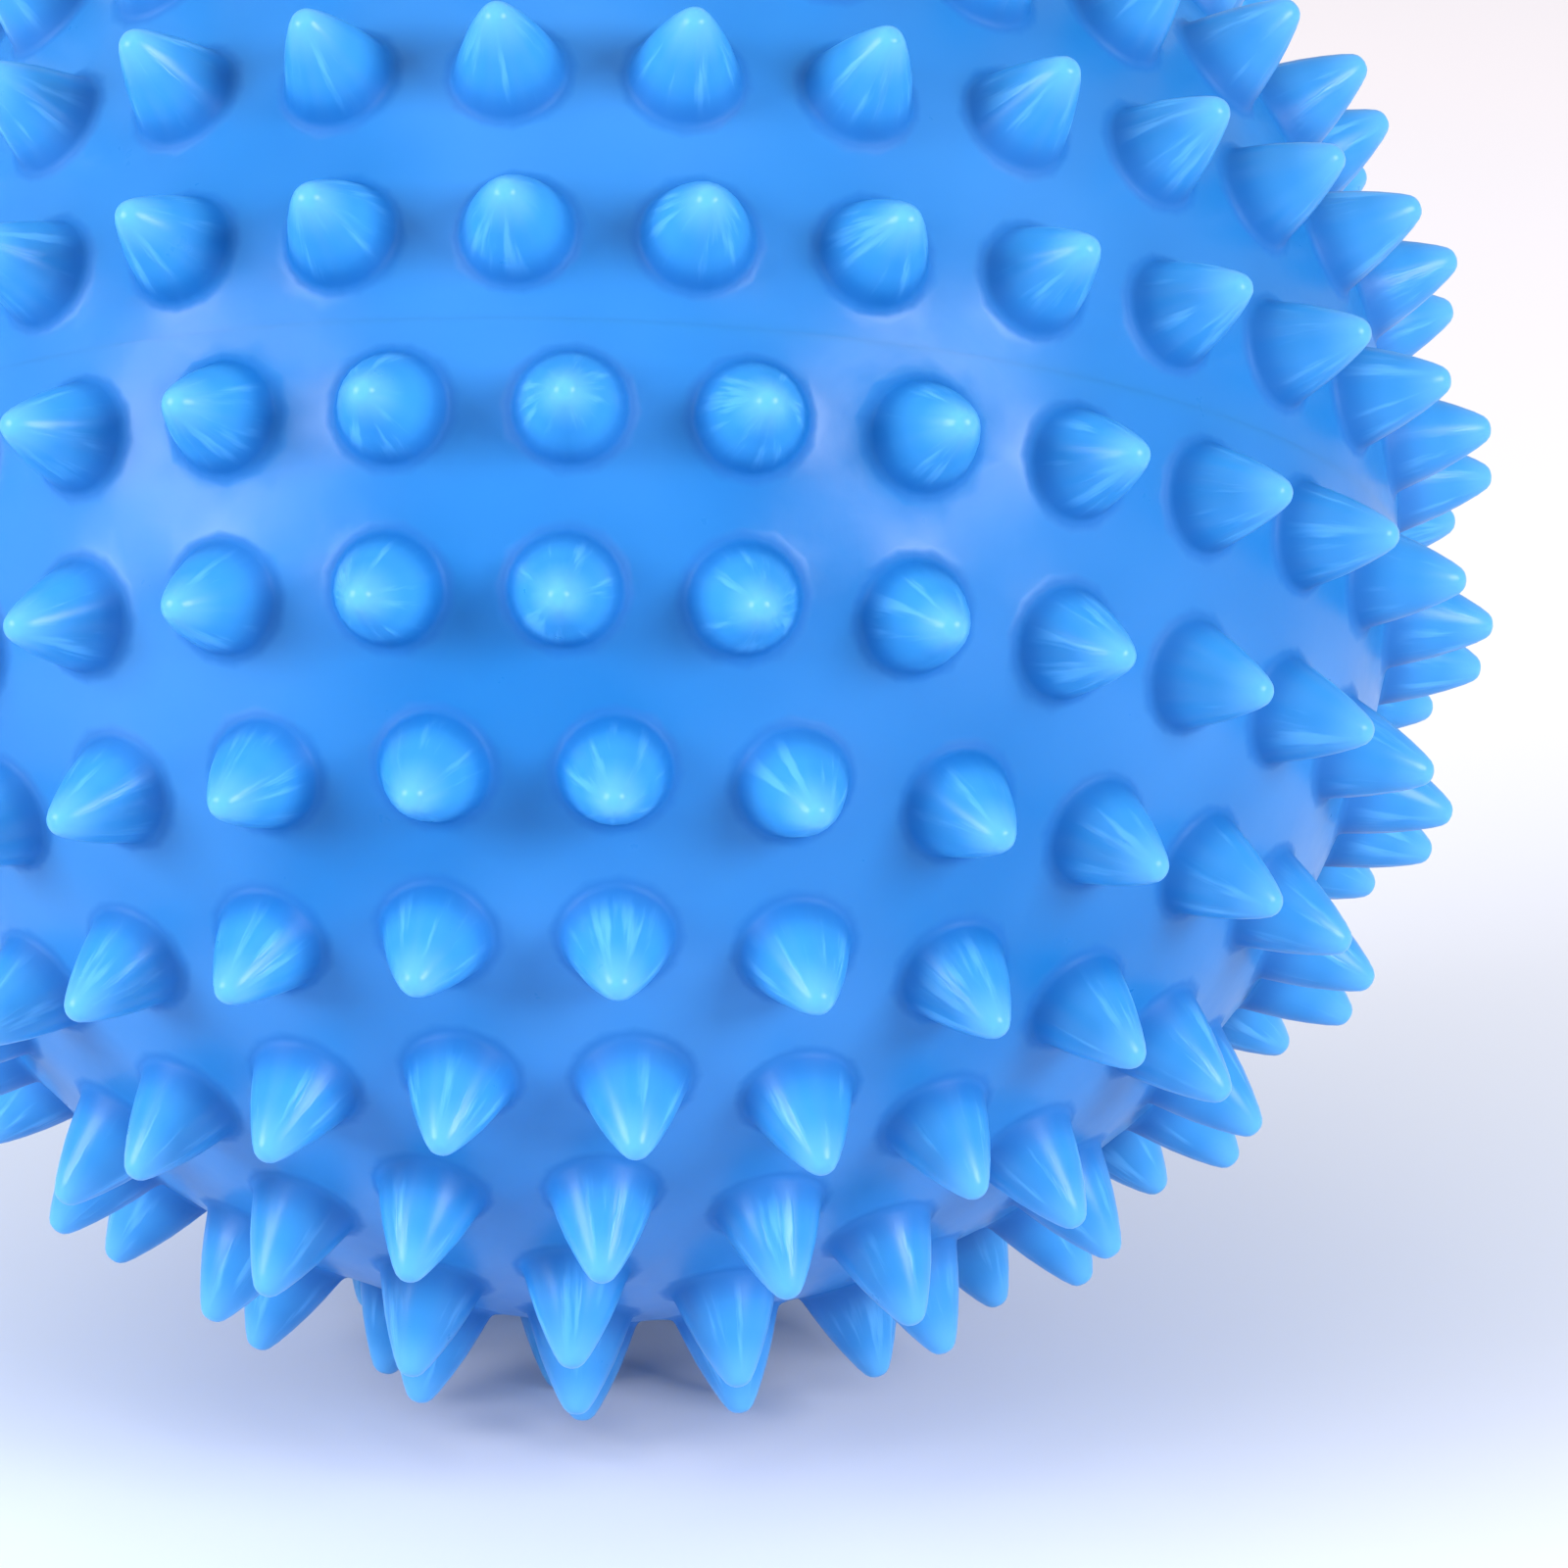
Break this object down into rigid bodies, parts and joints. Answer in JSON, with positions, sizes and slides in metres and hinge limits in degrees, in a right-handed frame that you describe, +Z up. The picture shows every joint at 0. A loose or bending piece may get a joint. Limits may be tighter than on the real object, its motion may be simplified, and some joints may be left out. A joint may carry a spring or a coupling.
{
  "type": "dryer ball",
  "caption": "Hollow soft plastic dryer ball covered in rows of conical spikes, moulded as two welded halves, with a pull-out air plug in one pole.",
  "frame": {"origin": "the point of the surface that the ball stands on, straight below the ball's centre", "axes": "+Z up from the surface; the front of the ball faces -Y and +X is to its right; the mould axis, with the valve at its upper end, leans back about 31 degrees from +Z, towards +Y"},
  "size_m": [0.0698, 0.07, 0.0695],
  "materials": {
    "shell_plastic": "glossy, slightly translucent soft vinyl, sky blue, lighter at the spike tips",
    "weld_plastic": "fused soft vinyl, blue",
    "valve_rubber": "soft satin blue rubber",
    "plug_plastic": "glossy soft vinyl, blue"
  },
  "bodies": {
    "ball": {"upper_half_shell": "shell_plastic", "lower_half_shell": "shell_plastic", "seam_weld_bead": "weld_plastic", "valve_body": "valve_rubber"},
    "plug": {"valve_plug": "plug_plastic"}
  },
  "joints": [
    {"name": "plug_pull", "type": "slide", "parent": "ball", "child": "plug", "axis": [0.0445, 0.5085, 0.8599], "range_m": [0, 0.01]}
  ]
}
